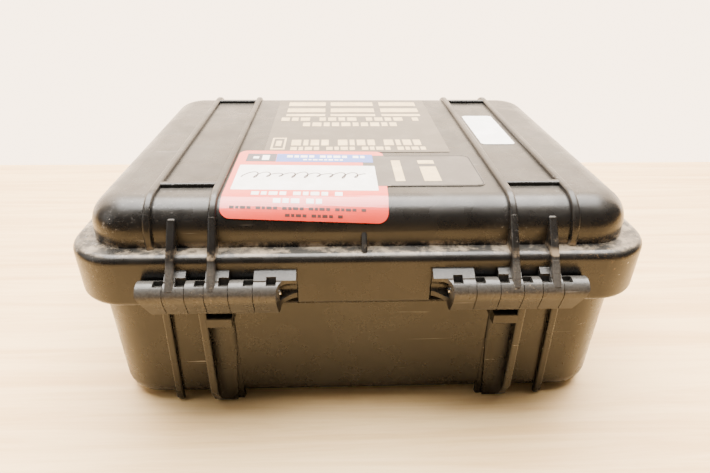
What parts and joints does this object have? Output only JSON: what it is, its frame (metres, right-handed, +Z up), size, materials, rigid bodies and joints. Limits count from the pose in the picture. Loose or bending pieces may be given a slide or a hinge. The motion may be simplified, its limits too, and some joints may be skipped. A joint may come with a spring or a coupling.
{
  "type": "protective carry case",
  "caption": "Hinged hard carry case for a hand-held force gauge, with latches, folding handle, seal, purge valve and cut foam.",
  "frame": {"origin": "middle of the bounding box's footprint, on the plane that the feet stand on", "axes": "+X is the width, +Y is the hinge side, -Y is the latch and handle side, +Z is up"},
  "size_m": [0.339, 0.2894, 0.1455],
  "materials": {
    "shell_plastic": "grained dark charcoal moulding, scuffed",
    "latch_plastic": "dark charcoal moulding",
    "handle_plastic": "dark charcoal moulding",
    "grip_rubber": "ribbed soft grip",
    "pin_steel": "drawn stainless rod",
    "eyelet_steel": "pressed stainless",
    "seal_rubber": "soft black seal",
    "valve_plastic": "moulded",
    "membrane": "white breathable membrane",
    "foam": "open-cell charcoal foam",
    "nameplate": null,
    "capacity": null,
    "tag": "glossy red tag with a white writing field",
    "sticker": "blank white sticker"
  },
  "bodies": {
    "case_base": {"base_shell_floor": "shell_plastic", "base_shell_front": "shell_plastic", "base_shell_rear": "shell_plastic", "base_shell_left": "shell_plastic", "base_shell_right": "shell_plastic", "base_foam_pad": "foam", "base_foam_lower": "foam", "base_foam_middle": "foam", "base_foam_upper": "foam", "hinge_pin_left": "pin_steel", "hinge_pin_right": "pin_steel", "handle_pin_left": "pin_steel", "handle_pin_right": "pin_steel", "base_eyelet_left": "eyelet_steel", "base_eyelet_right": "eyelet_steel", "valve_body": "valve_plastic", "valve_nut": "valve_plastic", "valve_o_ring": "seal_rubber", "valve_membrane": "membrane"},
    "lid": {"lid_shell": "shell_plastic", "lid_gasket": "seal_rubber", "lid_foam": "foam", "nameplate_film": "nameplate", "capacity_plate": "capacity", "white_sticker": "sticker", "asset_tag": "tag", "latch_pin_left": "pin_steel", "latch_pin_right": "pin_steel", "lid_eyelet_left": "eyelet_steel", "lid_eyelet_right": "eyelet_steel"},
    "latch_left": {"latch_link_left": "latch_plastic", "lever_pin_left": "pin_steel"},
    "lever_left": {"latch_lever_left": "latch_plastic"},
    "latch_right": {"latch_link_right": "latch_plastic", "lever_pin_right": "pin_steel"},
    "lever_right": {"latch_lever_right": "latch_plastic"},
    "carry_handle": {"handle_frame": "handle_plastic", "handle_grip": "grip_rubber"},
    "purge_knob": {"valve_knob": "valve_plastic"}
  },
  "joints": [
    {"name": "lid_hinge", "type": "hinge", "parent": "case_base", "child": "lid", "pos_m": [0, 0.1375, 0.099], "axis": [-1, 0, 0], "range_deg": [0, 90]},
    {"name": "latch_left_swing", "type": "hinge", "parent": "lid", "child": "latch_left", "pos_m": [0.1018, -0.1323, 0.112], "axis": [-1, 0, 0], "range_deg": [-4, 75]},
    {"name": "lever_left_throw", "type": "hinge", "parent": "latch_left", "child": "lever_left", "pos_m": [0.1018, -0.1373, 0.1026], "axis": [-1, 0, 0], "range_deg": [-1.6, 30]},
    {"name": "latch_right_swing", "type": "hinge", "parent": "lid", "child": "latch_right", "pos_m": [-0.1018, -0.1323, 0.112], "axis": [-1, 0, 0], "range_deg": [-4, 75]},
    {"name": "lever_right_throw", "type": "hinge", "parent": "latch_right", "child": "lever_right", "pos_m": [-0.1018, -0.1373, 0.1026], "axis": [-1, 0, 0], "range_deg": [-1.6, 30]},
    {"name": "handle_swing", "type": "hinge", "parent": "case_base", "child": "carry_handle", "pos_m": [0, -0.1343, 0.089], "axis": [-1, 0, 0], "range_deg": [0, 95]},
    {"name": "purge_knob_turn", "type": "hinge", "parent": "case_base", "child": "purge_knob", "pos_m": [0, -0.1253, 0.068], "axis": [0, -1, 0], "range_deg": [0, 270]}
  ],
  "couplings": [
    {"joint": "lever_left_throw", "follows": "latch_left_swing", "ratio": 0.4},
    {"joint": "lever_right_throw", "follows": "latch_right_swing", "ratio": 0.4}
  ]
}
